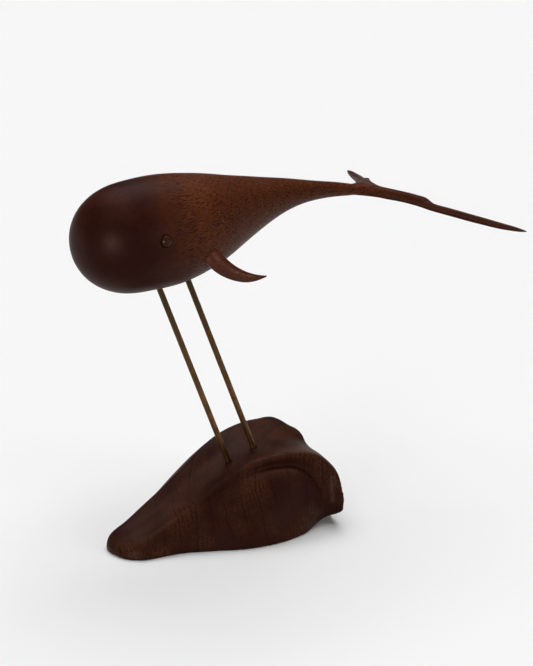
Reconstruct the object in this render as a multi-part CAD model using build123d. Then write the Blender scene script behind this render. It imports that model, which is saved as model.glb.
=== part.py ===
"""A carved wooden whale that swims above a wave-shaped wooden base, carried by two leaning brass rods.

Millimetres. +X runs from the head to the tail, the whale's left side is -Y, +Z is up.
The origin is on the table, under the middle of the base's length.
"""

import os
from collections import namedtuple
from math import asin, cos, pi, radians, sin, sqrt

from build123d import *

# Rods
rod_diameter = 3.175
rod_lean = 23.0
rod_visible_length = 120.3
rod_spacing = 17.65
rod_depth_in_base = 15.0
rod_depth_in_body = 20.0

# Fits of what is glued in
glue_clearance = 0.05
hole_end_gap = 0.3
cut_overrun = 10.0

# Base
base_length = 137.4
base_half_width = 51.0
base_height = 42.3
base_nose_middle = 3.0
base_nose_roundness = 2.2
base_trim = 3.0
front_rod_share = 0.5738

# Body, from the nose to the end of the tail's stalk
head_length = 37.4
head_radius = 29.4
head_roundness = 2.3
body_length = 199.4
rod_entry_from_nose = 49.55

# Flukes
fluke_root_before_stalk_end = 20.0
fluke_root_drop = 1.6
fluke_length = 68.6
fluke_half_span = 74.0
fluke_drop = 18.4
fluke_thickness = 4.4
fluke_roll = 1.3

# Fins
fin_from_nose = 65.8
fin_angle = 23.5
fin_length = 33.0
fin_chord = 10.0
fin_thickness_share = 0.62
fin_dowel_diameter = 4.0
fin_dowel_length = 16.0
fin_dowel_in_fin = 5.0

# Eyes
eye_diameter = 6.0
eye_depth = 9.0
eye_rim = 0.3
eye_dome = 1.8
eye_from_nose = 33.0
eye_rise = 4.2

# Sections of the base from the nose to the back. Heights are shares of the base's height, half-widths
# shares of its half-width, and turn is the section's angle to square across the base. hollow_share is how
# far the valley has climbed to the crest at valley_middle_share of the way out, and lip_out_share how far
# the left lip reaches from the crest to the cove below it, past one where it hangs over the cove. The
# right lip reaches far_lip_out_share everywhere. The right side's crest is nearer the middle than the
# left one's, by far_crest_share, and higher by far_rise_share. Outside its crest that side flares less,
# by far_width_share.
BaseSection = namedtuple(
    "BaseSection",
    "along_share turn valley_share hollow_share crest_width_share crest_share lip_out_share "
    "cove_width_share cove_share bulge_width_share bulge_share cheek_width_share cheek_share "
    "skirt_width_share skirt_share foot_width_share far_crest_share far_width_share far_rise_share",
)
base_section_shares = (
    BaseSection(
        0.09, 0, 0.24, 0.28, 0.245, 0.22, 0.80, 0.28, 0.19,
        0.305, 0.15, 0.325, 0.095, 0.335, 0.045, 0.335, 1, 1, 0,
    ),
    BaseSection(
        0.135, 0, 0.27, 0.28, 0.255, 0.27, 0.80, 0.29, 0.23,
        0.32, 0.185, 0.35, 0.12, 0.36, 0.055, 0.36, 1, 1, 0,
    ),
    BaseSection(
        0.22, 0, 0.36, 0.28, 0.275, 0.39, 0.80, 0.315, 0.35,
        0.345, 0.305, 0.40, 0.195, 0.425, 0.09, 0.42, 1, 1, 0,
    ),
    BaseSection(
        0.325, 0, 0.49, 0.28, 0.30, 0.54, 0.80, 0.345, 0.495,
        0.385, 0.455, 0.50, 0.30, 0.565, 0.14, 0.58, 1, 1, 0,
    ),
    BaseSection(
        0.44, 0, 0.665, 0.28, 0.33, 0.73, 0.85, 0.38, 0.67,
        0.435, 0.635, 0.60, 0.43, 0.73, 0.20, 0.765, 1, 1, 0,
    ),
    BaseSection(
        0.57, 0, 0.805, 0.28, 0.375, 0.925, 1.15, 0.42, 0.83,
        0.50, 0.79, 0.69, 0.57, 0.825, 0.265, 0.855, 1, 1, 0,
    ),
    BaseSection(
        0.695, 0, 0.905, 0.28, 0.455, 0.99, 1.40, 0.50, 0.85,
        0.60, 0.83, 0.76, 0.61, 0.84, 0.285, 0.84, 1, 1, 0,
    ),
    BaseSection(
        0.79, 5, 0.92, 0.32, 0.53, 0.975, 1.25, 0.59, 0.80,
        0.69, 0.715, 0.785, 0.50, 0.815, 0.225, 0.765, 1, 0.9, 0.01,
    ),
    BaseSection(
        0.875, 10, 0.875, 0.40, 0.58, 0.92, 0.85, 0.705, 0.675,
        0.775, 0.445, 0.79, 0.305, 0.765, 0.11, 0.68, 1, 0.7, 0.03,
    ),
    BaseSection(
        0.935, 14.5, 0.805, 0.60, 0.58, 0.84, 0.80, 0.79, 0.58,
        0.855, 0.365, 0.86, 0.26, 0.81, 0.13, 0.645, 0.95, 0.5, 0.09,
    ),
    BaseSection(
        1, 19, 0.69, 0.80, 0.49, 0.72, 0.80, 0.91, 0.60,
        1.005, 0.445, 1.005, 0.295, 0.925, 0.155, 0.635, 0.50, 0.35, 0.06,
    ),
)
base_sections = 36
nose_scale_shares = (0.15, 0.35, 0.55, 0.73, 0.88, 0.96)
front_fall_share = 0.80
lip_fall_share = 0.32
far_lip_out_share = 0.90
lip_start_share = 0.42
lip_full_share = 0.65
valley_middle_share = 0.55
foot_draft_share = 0.97

# Sections of the body behind the head: place along the body, rise of the centre above the axis and
# half-height as shares of the head's radius, and width over height.
BodySection = namedtuple("BodySection", "along_share rise_share radius_share flatness")
body_section_shares = (
    BodySection(0.270, -0.008, 1.000, 1.0),
    BodySection(0.355, -0.004, 0.920, 1.0),
    BodySection(0.425, 0.018, 0.808, 1.0),
    BodySection(0.490, 0.054, 0.668, 1.0),
    BodySection(0.550, 0.092, 0.542, 1.0),
    BodySection(0.612, 0.122, 0.419, 1.0),
    BodySection(0.675, 0.136, 0.314, 1.0),
    BodySection(0.741, 0.116, 0.228, 1.0),
    BodySection(0.811, 0.061, 0.168, 1.0),
    BodySection(0.881, -0.014, 0.133, 1.05),
    BodySection(0.920, -0.065, 0.112, 1.3),
    BodySection(0.960, -0.105, 0.075, 2.2),
    BodySection(1.000, -0.143, 0.032, 4.0),
)
head_radius_shares = (0.10, 0.30, 0.52, 0.72, 0.87, 0.96)
section_points = 16

# Sections of the flukes from the middle to a tip: place along the half-span, leading and trailing edges
# along the fluke's length, their drops as shares of the fluke's drop, and thickness.
FlukeSection = namedtuple(
    "FlukeSection", "along_share lead_share lead_drop_share trail_share trail_drop_share thickness_share"
)
fluke_section_shares = (
    FlukeSection(0.000, 0.000, 0.000, 0.398, 0.174, 1.50),
    FlukeSection(0.041, 0.066, 0.043, 0.399, 0.168, 1.45),
    FlukeSection(0.081, 0.160, 0.125, 0.405, 0.158, 1.32),
    FlukeSection(0.122, 0.226, 0.185, 0.418, 0.158, 1.23),
    FlukeSection(0.162, 0.277, 0.245, 0.440, 0.168, 1.16),
    FlukeSection(0.243, 0.372, 0.332, 0.504, 0.228, 1.07),
    FlukeSection(0.324, 0.459, 0.440, 0.587, 0.353, 1.00),
    FlukeSection(0.365, 0.499, 0.489, 0.624, 0.522, 0.98),
    FlukeSection(0.405, 0.532, 0.533, 0.663, 0.609, 0.98),
    FlukeSection(0.500, 0.609, 0.625, 0.743, 0.707, 1.00),
    FlukeSection(0.608, 0.697, 0.734, 0.824, 0.815, 1.00),
    FlukeSection(0.709, 0.773, 0.821, 0.898, 0.902, 0.95),
    FlukeSection(0.811, 0.845, 0.902, 0.956, 0.967, 0.84),
    FlukeSection(0.905, 0.908, 0.946, 0.991, 0.995, 0.64),
    FlukeSection(0.973, 0.961, 0.984, 1.000, 1.000, 0.34),
    FlukeSection(1.000, 0.990, 1.000, 0.999, 1.000, 0.14),
)
fluke_sections = 32
# The blade's outline: place along the chord and half-thickness, from the leading edge to the trailing edge.
blade_chord_shares = (0.0, 0.10, 0.34, 0.68, 1.0)
blade_half_shares = (0.0, 0.36, 0.50, 0.34, 0.05)
blade_steps = (0.0, 0.20, 0.42, 0.72, 1.0)

# The fin's bent middle line: back, out and down as shares of the fin's length, and chord.
FinSection = namedtuple("FinSection", "back_share out_share down_share chord_share")
fin_section_shares = (
    FinSection(-0.120, -0.100, -0.170, 1.00),
    FinSection(0.000, 0.000, 0.000, 0.97),
    FinSection(0.136, 0.055, 0.160, 0.92),
    FinSection(0.294, 0.112, 0.285, 0.78),
    FinSection(0.450, 0.167, 0.368, 0.64),
    FinSection(0.609, 0.221, 0.415, 0.46),
    FinSection(0.715, 0.279, 0.417, 0.28),
    FinSection(0.825, 0.333, 0.405, 0.07),
)

# Places worked out from the sizes above
rod_radius = rod_diameter / 2
base_nose_x = -base_length / 2
front_rod_x = base_nose_x + front_rod_share * base_length
rod_axis = Vector(-sin(radians(rod_lean)), 0, cos(radians(rod_lean)))


def mixed(low, high, share):
    """The value a share of the way from low to high."""
    return low + (high - low) * share


def slopes_at(table, index):
    """How fast each value of a table changes along it at one section, from the sections on either side."""
    before = table[max(index - 1, 0)]
    after = table[min(index + 1, len(table) - 1)]
    gap = after.along_share - before.along_share
    return [(high - low) / gap for low, high in zip(before, after)]


def section_at(table, along):
    """A section at any place along a table, on smooth curves through the table's sections."""
    index = 0
    while index < len(table) - 2 and along > table[index + 1].along_share:
        index += 1
    before = table[index]
    after = table[index + 1]
    gap = after.along_share - before.along_share
    step = (along - before.along_share) / gap
    values = []
    rises = slopes_at(table, index)
    end_rises = slopes_at(table, index + 1)
    for low, high, rise, end_rise in zip(before, after, rises, end_rises):
        square = 3 * (high - low) - (2 * rise + end_rise) * gap
        cube = 2 * (low - high) + (rise + end_rise) * gap
        values.append(low + rise * gap * step + square * step**2 + cube * step**3)
    return type(before)(*values)


def valley_height(x):
    """Height of the base's valley floor on the mid-plane."""
    return section_at(base_section_shares, (x - base_nose_x) / base_length).valley_share * base_height


front_foot = Vector(front_rod_x, 0, valley_height(front_rod_x))
rear_foot = Vector(front_rod_x + rod_spacing, 0, valley_height(front_rod_x + rod_spacing))
belly_point = front_foot + rod_axis * rod_visible_length
nose_x = belly_point.X - rod_entry_from_nose
body_axis_z = belly_point.Z + head_radius
fluke_root_x = nose_x + body_length - fluke_root_before_stalk_end
fluke_root_z = body_axis_z - fluke_root_drop


def closed_wire(points):
    """A smooth closed wire through points."""
    return Wire([Spline(*points, periodic=True)])


def steps_along(points):
    """How far along a line of points each one lies, from zero to one."""
    lengths = [0.0]
    for before, after in zip(points, points[1:]):
        lengths.append(lengths[-1] + (Vector(after) - Vector(before)).length)
    return [length / lengths[-1] for length in lengths]


def turned(points, fixed_x, turn):
    """Section points (half-width towards -Y, height) placed across the base at fixed_x."""
    angle = radians(turn)
    return [(fixed_x - n * sin(angle), -n * cos(angle), z) for n, z in points]


def base_side(section):
    """One side of a base section, from the valley to below the foot, as (half-width, height)."""
    crest_width = section.crest_width_share * base_half_width
    crest = section.crest_share * base_height
    valley = section.valley_share * base_height
    cove_width = section.cove_width_share * base_half_width
    cove = section.cove_share * base_height
    foot = section.foot_width_share * base_half_width
    roll = (section.along_share - lip_start_share) / (lip_full_share - lip_start_share)
    lip_fall = mixed(front_fall_share, lip_fall_share, min(max(roll, 0), 1))
    return [
        (0, valley),
        (valley_middle_share * crest_width, mixed(valley, crest, section.hollow_share)),
        (crest_width, crest),
        (mixed(crest_width, cove_width, section.lip_out_share), mixed(crest, cove, lip_fall)),
        (cove_width, cove),
        (section.bulge_width_share * base_half_width, section.bulge_share * base_height),
        (section.cheek_width_share * base_half_width, section.cheek_share * base_height),
        (section.skirt_width_share * base_half_width, section.skirt_share * base_height),
        (foot, 0),
        (foot_draft_share * foot, -base_trim),
    ]


def whole_section(section):
    """Both sides of a section, from the foot on the left to the foot on the right."""
    left = base_side(section)
    far = base_side(section._replace(lip_out_share=far_lip_out_share))
    crest_width = section.crest_width_share * base_half_width
    rise = section.far_rise_share * base_height
    right = []
    for n, z in far[1:]:
        inside = min(n, crest_width)
        reach = inside * section.far_crest_share + (n - inside) * section.far_width_share
        right.append((-reach, z + rise * inside / crest_width * z / base_height))
    return list(reversed(left)) + right


def base_wire(across, x, turn, steps):
    """A closed section of the base, with its points at the same steps as in every other section."""
    points = turned(across, x, turn)
    return Wire([Edge.make_spline(points, parameters=steps), Edge.make_line(points[-1], points[0])])


def base_steps():
    """Where the points of a base section lie along it, on average."""
    every = [steps_along(whole_section(section)) for section in base_section_shares]
    return [sum(steps) / len(every) for steps in zip(*every)]


def make_base():
    """The wave-shaped base, flat underneath."""
    wires = []
    first = base_section_shares[0]
    steps = base_steps()
    nose_length = first.along_share * base_length
    slopes = slopes_at(base_section_shares, 0)
    for scale in nose_scale_shares:
        ahead = (1 - scale**base_nose_roundness) ** (1 / base_nose_roundness) * first.along_share
        section = BaseSection(*[value - slope * ahead for value, slope in zip(first, slopes)])
        across = [
            (n * scale, base_nose_middle + (z - base_nose_middle) * scale) for n, z in whole_section(section)
        ]
        wires.append(base_wire(across, base_nose_x + nose_length - ahead * base_length, 0, steps))
    for index in range(base_sections):
        along = mixed(first.along_share, 1, index / (base_sections - 1))
        section = section_at(base_section_shares, along)
        x = base_nose_x + along * base_length
        wires.append(base_wire(whole_section(section), x, section.turn, steps))
    block = Solid.make_loft(wires)
    under = Box(
        2 * base_length,
        4 * base_half_width,
        base_trim + cut_overrun,
        align=(Align.CENTER, Align.CENTER, Align.MAX),
    )
    return block - under


def head_section(radius_share):
    """Distance from the nose at which the rounded head has this share of its radius."""
    return head_length * (1 - (1 - radius_share**head_roundness) ** (1 / head_roundness))


def body_ring(x, centre_z, half_width, half_height):
    """A closed oval across the body."""
    points = []
    for index in range(section_points):
        angle = 2 * pi * index / section_points
        points.append((x, half_width * cos(angle), centre_z + half_height * sin(angle)))
    return closed_wire(points)


def make_body_form():
    """The head, the body and the tail's stalk, without the flukes."""
    rings = []
    for share in head_radius_shares:
        radius = share * head_radius
        rings.append(body_ring(nose_x + head_section(share), body_axis_z, radius, radius))
    rings.append(body_ring(nose_x + head_length, body_axis_z, head_radius, head_radius))
    for section in body_section_shares:
        half_height = section.radius_share * head_radius
        centre_z = body_axis_z + section.rise_share * head_radius
        x = nose_x + section.along_share * body_length
        rings.append(body_ring(x, centre_z, section.flatness * half_height, half_height))
    return Solid.make_loft(rings)


def fluke_ring(section):
    """The blade's closed outline across the left lobe at one place along the span."""
    y = -section.along_share * fluke_half_span
    lead_x = fluke_root_x + section.lead_share * fluke_length
    trail_x = fluke_root_x + section.trail_share * fluke_length
    lead_z = fluke_root_z - section.lead_drop_share * fluke_drop
    trail_z = fluke_root_z - section.trail_drop_share * fluke_drop
    thickness = section.thickness_share * fluke_thickness
    upper = []
    lower = []
    for along, half in zip(blade_chord_shares, blade_half_shares):
        x = mixed(lead_x, trail_x, along)
        z = mixed(lead_z, trail_z, along)
        upper.append((x, y, z + half * thickness))
        lower.append((x, y, z - half * thickness))
    over = Edge.make_spline(upper, parameters=blade_steps)
    edge = Edge.make_line(upper[-1], lower[-1])
    under = Edge.make_spline(lower, parameters=blade_steps)
    return Wire([over, edge, under])


def make_flukes():
    """Both lobes of the tail, with the left one a little lower."""
    rings = []
    for index in range(fluke_sections):
        rings.append(fluke_ring(section_at(fluke_section_shares, index / (fluke_sections - 1))))
    lobe = Solid.make_loft(rings)
    level = lobe + mirrored(lobe)
    return level.rotate(Axis((fluke_root_x, 0, fluke_root_z), (1, 0, 0)), fluke_roll)


def fin_root():
    """The point on the left flank where the fin sits."""
    section = section_at(body_section_shares, fin_from_nose / body_length)
    centre = Vector(nose_x + fin_from_nose, 0, body_axis_z + section.rise_share * head_radius)
    outward = Vector(0, -cos(radians(fin_angle)), -sin(radians(fin_angle)))
    return centre + outward * section.radius_share * head_radius


def fin_points():
    """The left fin's middle line."""
    root = fin_root()
    return [
        root + Vector(section.back_share, -section.out_share, -section.down_share) * fin_length
        for section in fin_section_shares
    ]


def make_left_fin():
    """The left fin before it is fitted to the body: a bent horn of oval section."""
    points = fin_points()
    rings = []
    for index, (point, section) in enumerate(zip(points, fin_section_shares)):
        before = points[max(index - 1, 0)]
        after = points[min(index + 1, len(points) - 1)]
        plane = Plane(origin=point, x_dir=(0, 1, 0), z_dir=after - before)
        half_chord = section.chord_share * fin_chord / 2
        with BuildSketch(plane) as sketch:
            Ellipse(half_chord * fin_thickness_share, half_chord)
        rings.append(sketch.sketch.faces()[0].outer_wire())
    return Solid.make_loft(rings)


def rod_between(foot, length_below, length_above, radius):
    """A round bar along the rods' lean, from below the foot to above it."""
    start = foot - rod_axis * length_below
    return Solid.make_cylinder(radius, length_below + length_above, Plane(origin=start, z_dir=rod_axis))


def make_rod(foot):
    """A brass rod, and the hole it is glued into at both ends."""
    above = rod_visible_length + rod_depth_in_body
    rod = rod_between(foot, rod_depth_in_base, above, rod_radius)
    hole = rod_between(
        foot, rod_depth_in_base + hole_end_gap, above + hole_end_gap, rod_radius + glue_clearance
    )
    return rod, hole


def make_fin_dowel():
    """The dowel that holds the left fin, and its hole in the fin and the body."""
    inner, root = fin_points()[:2]
    outward = (root - inner).normalized()
    start = root - outward * (fin_dowel_length - fin_dowel_in_fin)
    dowel = Solid.make_cylinder(fin_dowel_diameter / 2, fin_dowel_length, Plane(origin=start, z_dir=outward))
    hole = Solid.make_cylinder(
        fin_dowel_diameter / 2 + glue_clearance,
        fin_dowel_length + 2 * hole_end_gap,
        Plane(origin=start - outward * hole_end_gap, z_dir=outward),
    )
    return dowel, hole


def eye_plane():
    """A plane on the left side of the head, square to its surface."""
    from_thickest = (head_length - eye_from_nose) / head_length
    radius = head_radius * (1 - from_thickest**head_roundness) ** (1 / head_roundness)
    slope = head_radius / head_length * (from_thickest * head_radius / radius) ** (head_roundness - 1)
    half_width = sqrt(radius**2 - eye_rise**2)
    outward = Vector(-slope, -half_width / radius, eye_rise / radius)
    point = Vector(nose_x + eye_from_nose, -half_width, body_axis_z + eye_rise)
    return Plane(origin=point, x_dir=(0, 0, 1), z_dir=outward)


def make_eye():
    """The left eye, a peg with a domed end, and its hole in the head."""
    plane = eye_plane()
    radius = eye_diameter / 2
    dome_radius = (radius**2 + eye_dome**2) / (2 * eye_dome)
    dome_turn = asin(radius / dome_radius) / 2
    dome_middle = eye_rim + eye_dome - dome_radius * (1 - cos(dome_turn))
    with BuildPart() as peg:
        with BuildSketch(Plane.XZ):
            with BuildLine():
                Polyline((0, eye_rim + eye_dome), (0, -eye_depth), (radius, -eye_depth), (radius, eye_rim))
                ThreePointArc(
                    (radius, eye_rim),
                    (dome_radius * sin(dome_turn), dome_middle),
                    (0, eye_rim + eye_dome),
                )
            make_face()
        revolve(axis=Axis.Z)
    eye = plane.from_local_coords(peg.part).solid()
    hole = Solid.make_cylinder(
        radius + glue_clearance,
        eye_depth + hole_end_gap + cut_overrun,
        Plane(origin=plane.origin - plane.z_dir * (eye_depth + hole_end_gap), z_dir=plane.z_dir),
    )
    return eye, hole


def mirrored(shape):
    """The same piece on the whale's right side."""
    return shape.mirror(Plane.XZ)


def main():
    front_rod, front_hole = make_rod(front_foot)
    rear_rod, rear_hole = make_rod(rear_foot)
    dowel, dowel_hole = make_fin_dowel()
    eye, eye_hole = make_eye()

    base = make_base() - front_hole - rear_hole
    body_form = make_body_form() + make_flukes()
    fin = make_left_fin()
    left_fin = fin - body_form - dowel_hole
    right_fin = mirrored(fin) - body_form - mirrored(dowel_hole)
    body = body_form - front_hole - rear_hole
    for hole in (dowel_hole, eye_hole):
        body = body - hole - mirrored(hole)

    pieces = {
        "base": base,
        "front_rod": front_rod,
        "rear_rod": rear_rod,
        "whale_body": body,
        "left_fin": left_fin,
        "right_fin": right_fin,
        "left_fin_dowel": dowel,
        "right_fin_dowel": mirrored(dowel),
        "left_eye": eye,
        "right_eye": mirrored(eye),
    }
    os.makedirs("parts", exist_ok=True)
    for name, piece in pieces.items():
        export_step(piece, f"parts/{name}.step")


main()
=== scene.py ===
from collections import namedtuple
from math import cos, pi, radians, sin

import bpy
import numpy as np
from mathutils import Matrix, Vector


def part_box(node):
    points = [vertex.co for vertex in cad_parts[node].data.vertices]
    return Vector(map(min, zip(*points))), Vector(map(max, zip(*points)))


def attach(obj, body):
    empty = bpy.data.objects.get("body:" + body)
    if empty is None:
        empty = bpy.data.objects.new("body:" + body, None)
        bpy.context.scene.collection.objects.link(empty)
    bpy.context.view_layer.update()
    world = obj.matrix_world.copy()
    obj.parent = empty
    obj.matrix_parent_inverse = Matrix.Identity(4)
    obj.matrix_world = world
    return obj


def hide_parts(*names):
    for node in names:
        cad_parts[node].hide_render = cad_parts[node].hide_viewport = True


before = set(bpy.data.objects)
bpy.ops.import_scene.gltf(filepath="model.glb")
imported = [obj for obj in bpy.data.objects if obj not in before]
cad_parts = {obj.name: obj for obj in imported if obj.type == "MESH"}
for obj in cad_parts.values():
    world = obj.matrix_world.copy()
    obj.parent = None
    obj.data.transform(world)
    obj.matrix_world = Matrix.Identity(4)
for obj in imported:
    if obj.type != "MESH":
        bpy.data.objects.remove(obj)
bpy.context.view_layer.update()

# Looks of a carved wooden whale on two brass rods above a wave-shaped wooden base.
# Metres, in the part's own frame: the head is at -X, the whale's left side at -Y, +Z is up.
MM = 0.001

# Camera, with its lens and sensor in millimetres
view_turn = radians(40.0)
view_rise = radians(18.6)
view_distance = 1600 * MM
view_aim = Vector((37.26, 0.0, 102.29)) * MM
view_lens = 159.27
view_sensor = 36.0

# Light: where each sun stands as seen from the object, how wide it looks, how strong it is, whether it
# lights surfaces and whether glossy ones mirror it
Sun = namedtuple("Sun", "name place width strength lights mirrored")
suns = (
    Sun("overhead", (0.05, 0.20, 1.0), radians(70), 2.10, True, False),
    Sun("back", (0.35, 0.40, 0.85), radians(45), 0.95, True, True),
    Sun("window", (-0.87, -0.49, 0.06), radians(28), 1.3, True, True),
    Sun("glint", (-0.87, -0.49, 0.06), radians(28), 3.7, False, True),
    Sun("front", (0.33, -0.90, 0.24), radians(26), 0.70, True, True),
)
room_light = 0.04
room_colour = (1, 1, 1, 1)
floor_half = 8.0
floor_pale = 0.895
floor_bounce = 0.20

# Carved pieces: size of the mesh's faces, how often they are smoothed and where they are smoothed more
base_voxel = 0.6 * MM
body_voxel = 0.45 * MM
base_rounds = 4
back_rounds = 24
back_start = 50 * MM
back_fade = 8 * MM
body_rounds = 5
tail_rounds = 16
fluke_root_start = 176 * MM
fluke_root_end = 206 * MM
fluke_root_weight = 1.3
smoothing_share = 0.5
hole_clearance = 0.05 * MM
least_distance = 1e-9

# Woods, in millimetres: where the pith runs, how far apart the growth rings are, the colours, where the
# dark colour turns pale along the grain, and how much of the change is in clouds
Wood = namedtuple(
    "Wood",
    "name pith turn ring_spacing ring_depth bold_spacing bold_depth wander jag pore_depth pale dark line "
    "warm_from warm_to warm_height warm_bend fade fluke_fade clouds roughness gloss",
)
whale_wood = Wood(
    name="whale_wood",
    pith=(-40.0, 60.0, 150.0),
    turn=(0.0, 0.0, 0.0),
    ring_spacing=2.3,
    ring_depth=0.35,
    bold_spacing=7.0,
    bold_depth=0.12,
    wander=2.2,
    jag=0.9,
    pore_depth=0.88,
    pale=(0.168, 0.046, 0.0160, 1),
    dark=(0.028, 0.0066, 0.0048, 1),
    line=(0.014, 0.0038, 0.002, 1),
    warm_from=-26.0,
    warm_to=24.0,
    warm_height=34.0,
    warm_bend=0.022,
    fade=0.30,
    fluke_fade=0.62,
    clouds=0.15,
    roughness=0.42,
    gloss=0.075,
)
base_wood = Wood(
    name="base_wood",
    pith=(94.0, -75.0, 0.0),
    turn=(0.0, pi / 2, 0.0),
    ring_spacing=2.4,
    ring_depth=0.92,
    bold_spacing=9.0,
    bold_depth=0.45,
    wander=5.0,
    jag=2.2,
    pore_depth=0.72,
    pale=(0.084, 0.027, 0.0118, 1),
    dark=(0.025, 0.0068, 0.0048, 1),
    line=(0.008, 0.0025, 0.002, 1),
    warm_from=-60.0,
    warm_to=60.0,
    warm_height=0.0,
    warm_bend=0.0,
    fade=0.0,
    fluke_fade=0.0,
    clouds=0.85,
    roughness=0.42,
    gloss=0.075,
)
fin_wood = whale_wood._replace(
    name="fin_wood",
    pale=(0.185, 0.052, 0.022, 1),
    dark=(0.045, 0.011, 0.006, 1),
    pore_depth=0.75,
    roughness=0.28,
    gloss=0.24,
)
eye_wood = whale_wood._replace(
    name="eye_wood",
    pale=(0.080, 0.031, 0.014, 1),
    dark=(0.038, 0.013, 0.007, 1),
    ring_spacing=0.8,
    roughness=0.26,
    gloss=0.13,
)
dowel_wood = whale_wood._replace(
    name="dowel_wood",
    pale=(0.52, 0.34, 0.18, 1),
    dark=(0.42, 0.26, 0.13, 1),
    line=(0.25, 0.14, 0.07, 1),
    ring_spacing=1.2,
    roughness=0.60,
)
grain_stretch = 0.10
wood_gloss = (1.0, 0.55, 0.47, 1)

# Along the whale, in millimetres from the pith's point: where its pale part dims, and where the flukes do
fade_from = 0.0
fade_to = 38.0
fluke_from = 128.0
fluke_to = 165.0

# Painted shade: the wood's colour is darkened in hollows and creases, where shade falls
painted_shade_reach = 15 * MM
painted_shade_depth = 0.85
painted_shade_edges = (0.64, 0.98)
painted_shade_samples = 12

# Patterns in the wood: how fine each one is, and the values between which it sets in or fades
noise_middle = 0.5
plain_detail = 2.0
rough_detail = 3.0
fibre_detail = 4.0
wander_scale = 0.03
jag_scale = 0.28
late_scale = 0.17
bold_scale = 0.09
patch_scale = 0.055
cloud_scale = 0.04
fibre_scale = 2.4
pore_scale = 2.1
hair_scale = 3.6
late_rise = (0.35, 0.9)
late_fall = (0.9, 1.0)
late_patches = (0.34, 0.62)
late_least = 0.15
bold_rise = (0.84, 0.94)
bold_fall = (0.95, 0.985)
bold_patches = (0.32, 0.54)
patch_edges = (0.35, 0.62)
cloud_edges = (0.38, 0.64)
pore_reach = 0.54
pore_late_change = -0.28
pore_patch_change = 0.06
pore_core = 0.55
pore_warmth = (0.0, 0.6)
pore_least = 0.35
hair_edges = (0.20, 0.36)
hair_depth = 0.45
fibre_edges = (0.35, 0.75)
fibre_depth = 0.40
rough_edges = (0.2, 0.8)
rough_below = 0.05
rough_above = 0.08
pore_roughness = 0.15
fibre_height = 0.3
wood_bump = 0.25
wood_bump_depth = 0.10 * MM

# Brass: its colours and the patterns that mix them
brass_foot = (0.215, 0.098, 0.033, 1)
brass_top = (0.030, 0.020, 0.0095, 1)
brass_blotch = (0.050, 0.029, 0.012, 1)
brass_line = (0.060, 0.037, 0.016, 1)
blotch_scale = 0.22
blotch_detail = 5.0
blotch_edges = (0.35, 0.65)
blotch_depth = 0.6
line_stretch = (3.5, 3.5, 0.06)
line_lean = (0.0, radians(23.0), 0.0)
line_scale = 1.0
line_edges = (0.4, 0.7)
line_depth = 0.4
brass_rough_edges = (0.3, 0.7)
brass_rough_low = 0.32
brass_rough_high = 0.55
brass_bump = 0.12
brass_bump_depth = 0.05 * MM


class Nodes:
    """A material's nodes, with short ways to add them."""

    def __init__(self, name):
        self.material = bpy.data.materials.new(name)
        self.material.use_nodes = True
        self.tree = self.material.node_tree
        self.shader = self.tree.nodes["Principled BSDF"]

    def add(self, kind, inputs=(), **settings):
        node = self.tree.nodes.new(kind)
        for key, value in settings.items():
            setattr(node, key, value)
        for key, value in dict(inputs).items():
            if isinstance(value, bpy.types.NodeSocket):
                self.tree.links.new(value, node.inputs[key])
            else:
                node.inputs[key].default_value = value
        return node

    def math(self, operation, first, second=0.0):
        return self.add("ShaderNodeMath", {0: first, 1: second}, operation=operation).outputs[0]

    def mix(self, share, first, second):
        node = self.add("ShaderNodeMix", {0: share, 6: first, 7: second}, data_type="RGBA")
        return node.outputs[2]

    def between(self, value, low, high, start=0.0, end=1.0):
        """Runs smoothly from start to end as value goes from low to high."""
        inputs = {"Value": value, "From Min": low, "From Max": high, "To Min": start, "To Max": end}
        return self.add("ShaderNodeMapRange", inputs, interpolation_type="SMOOTHSTEP").outputs[0]

    def noise(self, place, scale, detail=plain_detail):
        inputs = {"Vector": place, "Scale": scale, "Detail": detail}
        return self.add("ShaderNodeTexNoise", inputs).outputs["Fac"]

    def stretched(self, place, scale, turn=(0.0, 0.0, 0.0)):
        inputs = {"Vector": place, "Rotation": turn, "Scale": scale}
        return self.add("ShaderNodeMapping", inputs, vector_type="POINT").outputs[0]

    def in_millimetres(self):
        place = self.add("ShaderNodeTexCoord").outputs["Object"]
        return self.add("ShaderNodeVectorMath", {0: place, 1: (1 / MM,) * 3}, operation="MULTIPLY").outputs[0]

    def set(self, socket, value):
        if isinstance(value, bpy.types.NodeSocket):
            self.tree.links.new(value, self.shader.inputs[socket])
        else:
            self.shader.inputs[socket].default_value = value


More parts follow.
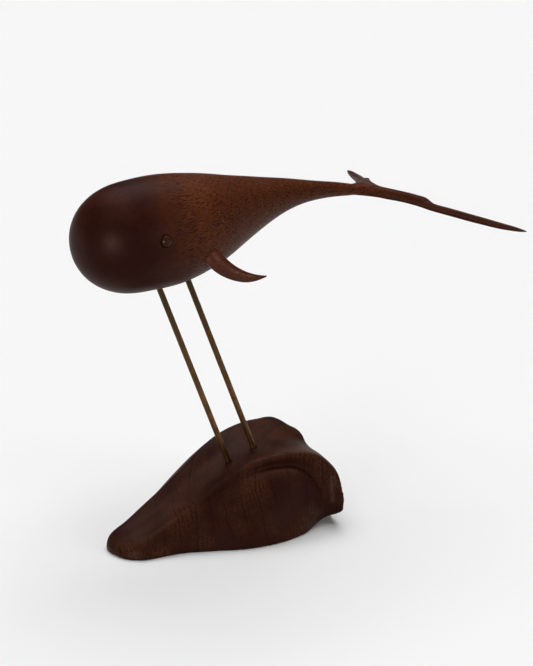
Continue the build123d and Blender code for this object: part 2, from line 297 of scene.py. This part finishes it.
def make_wood(kind):
    """Dark oiled wood: growth rings about a pith line, pores along the grain, slow changes of colour and
    painted shade in its hollows.
    """
    n = Nodes(kind.name)
    inputs = {"Vector": n.in_millimetres(), "Location": kind.pith, "Rotation": kind.turn}
    place = n.add("ShaderNodeMapping", inputs, vector_type="TEXTURE").outputs[0]
    axes = n.add("ShaderNodeSeparateXYZ", {0: place})
    flat = n.add("ShaderNodeCombineXYZ", {"Y": axes.outputs["Y"], "Z": axes.outputs["Z"]}).outputs[0]
    radius = n.add("ShaderNodeVectorMath", {0: flat}, operation="LENGTH").outputs["Value"]

    slow = n.math("MULTIPLY", n.math("SUBTRACT", n.noise(place, wander_scale), noise_middle), 2 * kind.wander)
    jags = n.math("SUBTRACT", n.noise(place, jag_scale, rough_detail), noise_middle)
    quick = n.math("MULTIPLY", jags, kind.jag)
    ring_place = n.math("ADD", n.math("ADD", radius, slow), quick)
    ring = n.math("FRACT", n.math("DIVIDE", ring_place, kind.ring_spacing))
    late = n.math("MULTIPLY", n.between(ring, *late_rise), n.between(ring, *late_fall, 1.0, 0.0))
    late_noise = n.noise(place, late_scale, rough_detail)
    late = n.math("MULTIPLY", late, n.between(late_noise, *late_patches, late_least, 1.0))
    bold = n.math("FRACT", n.math("DIVIDE", ring_place, kind.bold_spacing))
    bold_line = n.math("MULTIPLY", n.between(bold, *bold_rise), n.between(bold, *bold_fall, 1.0, 0.0))
    patch = n.between(n.noise(place, patch_scale, rough_detail), *patch_edges)

    grain = n.stretched(place, (grain_stretch, 1.0, 1.0))
    cells = n.add("ShaderNodeTexVoronoi", {"Vector": grain, "Scale": pore_scale, "Randomness": 1.0})
    late_change = n.math("MULTIPLY", late, pore_late_change)
    change = n.math("ADD", late_change, n.math("MULTIPLY", patch, pore_patch_change))
    reach = n.math("ADD", change, pore_reach)
    inner = n.math("MULTIPLY", reach, pore_core)
    pore = n.between(cells.outputs["Distance"], inner, reach, 1.0, 0.0)
    hairs = n.add("ShaderNodeTexVoronoi", {"Vector": grain, "Scale": hair_scale, "Randomness": 1.0})
    hair = n.between(hairs.outputs["Distance"], *hair_edges, hair_depth, 0.0)
    pore = n.math("MAXIMUM", pore, hair)

    fibre = n.noise(grain, fibre_scale, fibre_detail)
    off = n.math("SUBTRACT", axes.outputs["Z"], kind.warm_height)
    bend = n.math("MULTIPLY", n.math("MULTIPLY", off, off), kind.warm_bend)
    along = n.math("ADD", n.math("SUBTRACT", axes.outputs["X"], bend), slow)
    warmth = n.between(along, kind.warm_from, kind.warm_to, 0.0, 1 - kind.clouds)
    fade = n.between(axes.outputs["X"], fade_from, fade_to, 1.0, 1 - kind.fade)
    fluke_fade = n.between(axes.outputs["X"], fluke_from, fluke_to, 1.0, 1 - kind.fluke_fade)
    warmth = n.math("MULTIPLY", warmth, n.math("MULTIPLY", fade, fluke_fade))
    cloud = n.between(n.noise(place, cloud_scale, rough_detail), *cloud_edges, 0.0, kind.clouds)
    warmth = n.math("ADD", warmth, cloud)
    pore = n.math("MULTIPLY", pore, n.between(warmth, *pore_warmth, pore_least, 1.0))
    ground = n.mix(warmth, kind.dark, kind.pale)
    ground = n.mix(n.between(fibre, *fibre_edges, 0.0, fibre_depth), ground, kind.dark)
    ringed = n.mix(n.math("MULTIPLY", n.math("MULTIPLY", late, warmth), kind.ring_depth), ground, kind.line)
    bold_line = n.math("MULTIPLY", bold_line, n.between(n.noise(place, bold_scale), *bold_patches))
    ringed = n.mix(n.math("MULTIPLY", bold_line, kind.bold_depth), ringed, kind.line)
    pored = n.mix(n.math("MULTIPLY", pore, kind.pore_depth), ringed, kind.line)
    # Painted shade: hollows and creases of the piece are darkened towards its dark colour
    settings = {"samples": painted_shade_samples, "only_local": True}
    openness = n.add("ShaderNodeAmbientOcclusion", {"Distance": painted_shade_reach}, **settings).outputs["AO"]
    n.set("Base Color", n.mix(n.between(openness, *painted_shade_edges, painted_shade_depth, 0.0), pored, kind.dark))

    rough = n.between(fibre, *rough_edges, kind.roughness - rough_below, kind.roughness + rough_above)
    n.set("Roughness", n.math("ADD", rough, n.math("MULTIPLY", pore, pore_roughness)))
    height = n.math("SUBTRACT", n.math("MULTIPLY", fibre, fibre_height), pore)
    bump = n.add("ShaderNodeBump", {"Height": height, "Strength": wood_bump, "Distance": wood_bump_depth})
    n.set("Normal", bump.outputs["Normal"])
    n.set("Specular IOR Level", kind.gloss)
    n.set("Specular Tint", wood_gloss)
    return n.material


def make_brass():
    """Brass gone brown, darker towards the top, with fine lines along the rods."""
    n = Nodes("aged_brass")
    place = n.in_millimetres()
    height = n.add("ShaderNodeSeparateXYZ", {0: place}).outputs["Z"]
    low, high = (corner.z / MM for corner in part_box("front_rod"))
    metal = n.mix(n.between(height, low, high), brass_foot, brass_top)
    blotch = n.noise(place, blotch_scale, blotch_detail)
    metal = n.mix(n.between(blotch, *blotch_edges, 0.0, blotch_depth), metal, brass_blotch)
    lines = n.noise(n.stretched(place, line_stretch, line_lean), line_scale, rough_detail)
    metal = n.mix(n.between(lines, *line_edges, 0.0, line_depth), metal, brass_line)
    n.set("Base Color", metal)
    n.set("Metallic", 1.0)
    n.set("Roughness", n.between(blotch, *brass_rough_edges, brass_rough_low, brass_rough_high))
    bump = n.add("ShaderNodeBump", {"Height": lines, "Strength": brass_bump, "Distance": brass_bump_depth})
    n.set("Normal", bump.outputs["Normal"])
    return n.material


def coat(piece, material):
    """Gives a piece its material."""
    piece.data.materials.clear()
    piece.data.materials.append(material)


def evenly_meshed(node, name, voxel):
    """A copy of a CAD node with an even mesh of small faces."""
    piece = bpy.data.objects.new(name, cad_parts[node].data.copy())
    bpy.context.scene.collection.objects.link(piece)
    remesh = piece.modifiers.new("even", "REMESH")
    remesh.mode = "VOXEL"
    remesh.voxel_size = voxel
    graph = bpy.context.evaluated_depsgraph_get()
    piece.data = bpy.data.meshes.new_from_object(piece.evaluated_get(graph))
    piece.modifiers.clear()
    return piece


def places_of(mesh):
    """The mesh's points as an array."""
    places = np.empty(len(mesh.vertices) * 3, np.float32)
    mesh.vertices.foreach_get("co", places)
    return places.reshape(-1, 3).astype(float)


def smoothed(places, mesh, weights, rounds):
    """Places moved towards the middle of their neighbours, as far as each one's weight lets it."""
    ends = np.empty(len(mesh.edges) * 2, np.int32)
    mesh.edges.foreach_get("vertices", ends)
    first, second = ends.reshape(-1, 2).T
    here = np.concatenate((first, second))
    there = np.concatenate((second, first))
    count = np.maximum(np.bincount(here, minlength=len(places)), 1)
    share = smoothing_share * weights[:, None]
    for _ in range(rounds):
        sums = [np.bincount(here, places[there, axis], len(places)) for axis in range(3)]
        places = places + share * (np.stack(sums, axis=1) / count[:, None] - places)
    return places


def clear_of(places, peg):
    """Places moved out of the round hole that a peg sits in."""
    points = places_of(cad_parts[peg].data)
    centre = points.mean(0)
    axis = np.linalg.svd(points - centre, full_matrices=False)[2][0]
    along = (points - centre) @ axis
    radius = np.linalg.norm(points - centre - along[:, None] * axis, axis=1).max() + hole_clearance
    reach = (places - centre) @ axis
    outward = places - centre - reach[:, None] * axis
    distance = np.maximum(np.linalg.norm(outward, axis=1), least_distance)
    inside = (distance < radius) & (reach > along.min() + radius) & (reach < along.max())
    moved = places + outward * (radius / distance - 1)[:, None]
    return np.where(inside[:, None], moved, places)


def finish_carving(piece, node, places, pegs):
    """Puts smoothed places into a carved piece, clear of its pegs and inside the node's box."""
    for peg in pegs:
        places = clear_of(places, peg)
    low, high = (np.array(corner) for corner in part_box(node))
    mesh = piece.data
    mesh.vertices.foreach_set("co", np.clip(places, low, high).ravel())
    mesh.polygons.foreach_set("use_smooth", np.ones(len(mesh.polygons), bool))
    mesh.update()
    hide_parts(node)
    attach(piece, "root")


def make_carved_base():
    """The base with its carved edges eased, most at its back."""
    piece = evenly_meshed("base", "carved_base", base_voxel)
    places = places_of(piece.data)
    places = smoothed(places, piece.data, np.ones(len(places)), base_rounds)
    back = np.clip((places[:, 0] - back_start) / back_fade, 0, 1)
    places = smoothed(places, piece.data, back, back_rounds)
    finish_carving(piece, "base", places, ("front_rod", "rear_rod"))
    return piece


def make_carved_whale():
    """The whale's body and tail, with the stalk running softly into the flukes."""
    piece = evenly_meshed("whale_body", "carved_whale", body_voxel)
    places = places_of(piece.data)
    places = smoothed(places, piece.data, np.ones(len(places)), body_rounds)
    along = places[:, 0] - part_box("whale_body")[0].x
    middle = (fluke_root_start + fluke_root_end) / 2
    half = (fluke_root_end - fluke_root_start) / 2
    weights = np.clip(fluke_root_weight - np.abs(along - middle) / half, 0, 1)
    places = smoothed(places, piece.data, weights, tail_rounds)
    finish_carving(piece, "whale_body", places, ("front_rod", "rear_rod", "left_eye", "right_eye"))
    return piece


def make_camera():
    data = bpy.data.cameras.new("camera")
    data.lens = view_lens
    data.sensor_width = view_sensor
    camera = bpy.data.objects.new("camera", data)
    bpy.context.scene.collection.objects.link(camera)
    look = Vector((sin(view_turn) * cos(view_rise), cos(view_turn) * cos(view_rise), -sin(view_rise)))
    camera.location = view_aim - look * view_distance
    camera.rotation_euler = look.to_track_quat("-Z", "Y").to_euler()
    bpy.context.scene.camera = camera


def make_sun(sun):
    data = bpy.data.lights.new(sun.name, "SUN")
    data.energy = sun.strength
    data.angle = sun.width
    lamp = bpy.data.objects.new(sun.name, data)
    bpy.context.scene.collection.objects.link(lamp)
    lamp.rotation_euler = (-Vector(sun.place)).to_track_quat("-Z", "Y").to_euler()
    lamp.visible_diffuse = sun.lights
    lamp.visible_glossy = sun.mirrored


def make_floor():
    """A wide pale floor. What it bounces onto the object is much darker than what is seen of it."""
    corners = [(-floor_half, -floor_half, 0), (floor_half, -floor_half, 0)]
    corners += [(floor_half, floor_half, 0), (-floor_half, floor_half, 0)]
    mesh = bpy.data.meshes.new("floor")
    mesh.from_pydata(corners, [], [(0, 1, 2, 3)])
    floor = bpy.data.objects.new("floor", mesh)
    bpy.context.scene.collection.objects.link(floor)
    n = Nodes("pale_floor")
    path = n.add("ShaderNodeLightPath")
    seen = n.math("MAXIMUM", path.outputs["Is Camera Ray"], path.outputs["Is Glossy Ray"])
    seen = n.math("MAXIMUM", seen, path.outputs["Is Transmission Ray"])
    bounce = (floor_bounce, floor_bounce, floor_bounce, 1)
    pale = (floor_pale, floor_pale, floor_pale, 1)
    n.set("Base Color", n.mix(seen, bounce, pale))
    n.set("Roughness", 1.0)
    n.set("Specular IOR Level", 0.0)
    mesh.materials.append(n.material)


def make_room():
    world = bpy.data.worlds.new("room")
    bpy.context.scene.world = world
    world.use_nodes = True
    background = world.node_tree.nodes["Background"]
    background.inputs["Color"].default_value = room_colour
    background.inputs["Strength"].default_value = room_light


def main():
    bpy.context.scene.view_settings.view_transform = "Standard"
    make_camera()
    make_floor()
    make_room()
    for sun in suns:
        make_sun(sun)

    fin_material = make_wood(fin_wood)
    eye_material = make_wood(eye_wood)
    dowel_material = make_wood(dowel_wood)
    brass = make_brass()
    coat(make_carved_base(), make_wood(base_wood))
    coat(make_carved_whale(), make_wood(whale_wood))
    for side in ("left", "right"):
        coat(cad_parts[side + "_fin"], fin_material)
        coat(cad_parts[side + "_eye"], eye_material)
        coat(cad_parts[side + "_fin_dowel"], dowel_material)
    for end in ("front", "rear"):
        coat(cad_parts[end + "_rod"], brass)


main()
